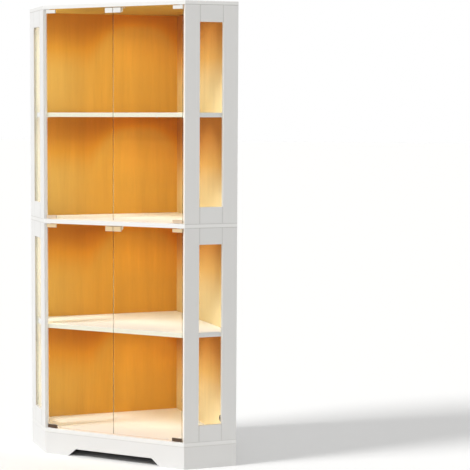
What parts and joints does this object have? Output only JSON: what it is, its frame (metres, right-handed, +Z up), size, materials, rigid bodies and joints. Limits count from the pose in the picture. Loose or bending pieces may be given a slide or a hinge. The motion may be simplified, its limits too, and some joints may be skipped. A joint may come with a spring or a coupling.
{
  "type": "corner display cabinet",
  "caption": "Tall five-sided corner cabinet with glazed sides, two tiers of frameless glass doors on pivot hinges, shelves, inside lights and a plinth with a splayed cut-out.",
  "frame": {"origin": "on the floor, at the middle of the plan's bounding box", "axes": "+Z up; the front with the doors faces -Y; the back corner, where the two walls meet, points to +Y; +X to the right when facing the back corner"},
  "size_m": [0.9264, 0.6158, 1.8],
  "materials": {
    "white_paint": "satin white lacquer on fibreboard",
    "inside_white_paint": "satin white lacquer on fibreboard",
    "honey_veneer": "satin veneer under a honey glaze, white lacquer on the wall side",
    "clear_glass": "clear tempered glass with polished edges",
    "clip_metal": "satin nickel",
    "screw_metal": "bronzed steel",
    "fitting_metal": "zinc plated",
    "dowel_beech": "bare beech",
    "channel_aluminium": "satin anodised",
    "milky_cover": "milky cover, lit warm white from inside",
    "grommet_rubber": "matt",
    "fitting_plastic": "white moulded plastic"
  },
  "bodies": {
    "cabinet": {"top_board": "white_paint", "middle_board": "white_paint", "bottom_board": "white_paint", "plinth_front": "white_paint", "plinth_left_side": "white_paint", "plinth_right_side": "white_paint", "plinth_left_back": "white_paint", "plinth_right_back": "white_paint", "upper_left_front_stile": "white_paint", "upper_left_back_stile": "white_paint", "upper_left_rails": "white_paint", "upper_left_side_pane": "clear_glass", "upper_left_back_panel": "honey_veneer", "upper_right_front_stile": "white_paint", "upper_right_back_stile": "white_paint", "upper_right_rails": "white_paint", "upper_right_side_pane": "clear_glass", "upper_right_back_panel": "honey_veneer", "lower_left_front_stile": "white_paint", "lower_left_back_stile": "white_paint", "lower_left_rails": "white_paint", "lower_left_side_pane": "clear_glass", "lower_left_back_panel": "honey_veneer", "lower_right_front_stile": "white_paint", "lower_right_back_stile": "white_paint", "lower_right_rails": "white_paint", "lower_right_side_pane": "clear_glass", "lower_right_back_panel": "honey_veneer", "glazing_beads": "white_paint", "upper_shelf": "inside_white_paint", "lower_shelf": "inside_white_paint", "shelf_supports": "fitting_metal", "pivot_bushes": "fitting_plastic", "latch_bodies": "fitting_plastic", "cam_locks": "fitting_metal", "cam_bolts": "fitting_metal", "dowels": "dowel_beech", "light_channels": "channel_aluminium", "light_covers": "milky_cover", "cable_grommet": "grommet_rubber"},
    "upper_left_door": {"upper_left_door_glass": "clear_glass", "upper_left_hinge_clips": "clip_metal", "upper_left_strike_clip": "clip_metal", "upper_left_clip_screws": "screw_metal"},
    "upper_right_door": {"upper_right_door_glass": "clear_glass", "upper_right_hinge_clips": "clip_metal", "upper_right_strike_clip": "clip_metal", "upper_right_clip_screws": "screw_metal"},
    "lower_left_door": {"lower_left_door_glass": "clear_glass", "lower_left_hinge_clips": "clip_metal", "lower_left_strike_clip": "clip_metal", "lower_left_clip_screws": "screw_metal"},
    "lower_right_door": {"lower_right_door_glass": "clear_glass", "lower_right_hinge_clips": "clip_metal", "lower_right_strike_clip": "clip_metal", "lower_right_clip_screws": "screw_metal"},
    "upper_left_plunger": {"upper_left_latch_plunger": "fitting_plastic"},
    "upper_right_plunger": {"upper_right_latch_plunger": "fitting_plastic"},
    "lower_left_plunger": {"lower_left_latch_plunger": "fitting_plastic"},
    "lower_right_plunger": {"lower_right_latch_plunger": "fitting_plastic"}
  },
  "joints": [
    {"name": "upper_left_door_hinge", "type": "hinge", "parent": "cabinet", "child": "upper_left_door", "pos_m": [-0.29042, -0.30195, 1.36875], "axis": [0, 0, -1], "range_deg": [0, 110]},
    {"name": "upper_right_door_hinge", "type": "hinge", "parent": "cabinet", "child": "upper_right_door", "pos_m": [0.29042, -0.30195, 1.36875], "axis": [0, 0, 1], "range_deg": [0, 110]},
    {"name": "lower_left_door_hinge", "type": "hinge", "parent": "cabinet", "child": "lower_left_door", "pos_m": [-0.29042, -0.30195, 0.52025], "axis": [0, 0, -1], "range_deg": [0, 110]},
    {"name": "lower_right_door_hinge", "type": "hinge", "parent": "cabinet", "child": "lower_right_door", "pos_m": [0.29042, -0.30195, 0.52025], "axis": [0, 0, 1], "range_deg": [0, 110]},
    {"name": "upper_left_plunger_slide", "type": "slide", "parent": "cabinet", "child": "upper_left_plunger", "axis": [0, -1, 0], "range_m": [-0.002, 0], "stiffness_N_per_m": 300, "springref_m": 0.008},
    {"name": "upper_right_plunger_slide", "type": "slide", "parent": "cabinet", "child": "upper_right_plunger", "axis": [0, -1, 0], "range_m": [-0.002, 0], "stiffness_N_per_m": 300, "springref_m": 0.008},
    {"name": "lower_left_plunger_slide", "type": "slide", "parent": "cabinet", "child": "lower_left_plunger", "axis": [0, -1, 0], "range_m": [-0.002, 0], "stiffness_N_per_m": 300, "springref_m": 0.008},
    {"name": "lower_right_plunger_slide", "type": "slide", "parent": "cabinet", "child": "lower_right_plunger", "axis": [0, -1, 0], "range_m": [-0.002, 0], "stiffness_N_per_m": 300, "springref_m": 0.008}
  ]
}
